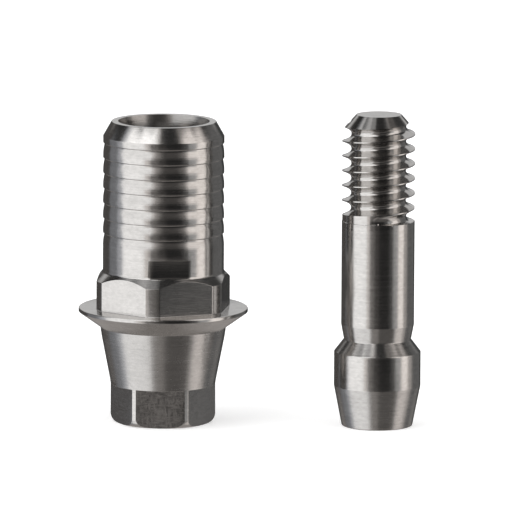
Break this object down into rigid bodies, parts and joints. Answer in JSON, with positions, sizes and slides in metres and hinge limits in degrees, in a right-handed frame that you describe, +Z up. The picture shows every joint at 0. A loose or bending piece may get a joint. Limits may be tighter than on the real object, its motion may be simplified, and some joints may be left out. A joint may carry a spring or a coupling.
{
  "type": "dental abutment",
  "caption": "Titanium base for a dental crown: grooved hollow post, faceted collar, thin flange, cone and hexagonal foot, with its own threaded screw standing beside it.",
  "frame": {"origin": "on the axis of the abutment base, at the bottom face of its implant hexagon", "axes": "+Z up along the bore, from the hexagon towards the rim; -Y towards the front, where the shallow milled flat is; +X towards the screw that stands beside it"},
  "size_m": [0.0092, 0.0046, 0.0084],
  "materials": {
    "base_titanium": "turned titanium, fine circular tool marks, milled flats",
    "screw_titanium": "turned titanium, fine circular tool marks, bright thread crests"
  },
  "bodies": {
    "root": {"abutment_base": "base_titanium", "retaining_screw": "screw_titanium"}
  },
  "joints": []
}
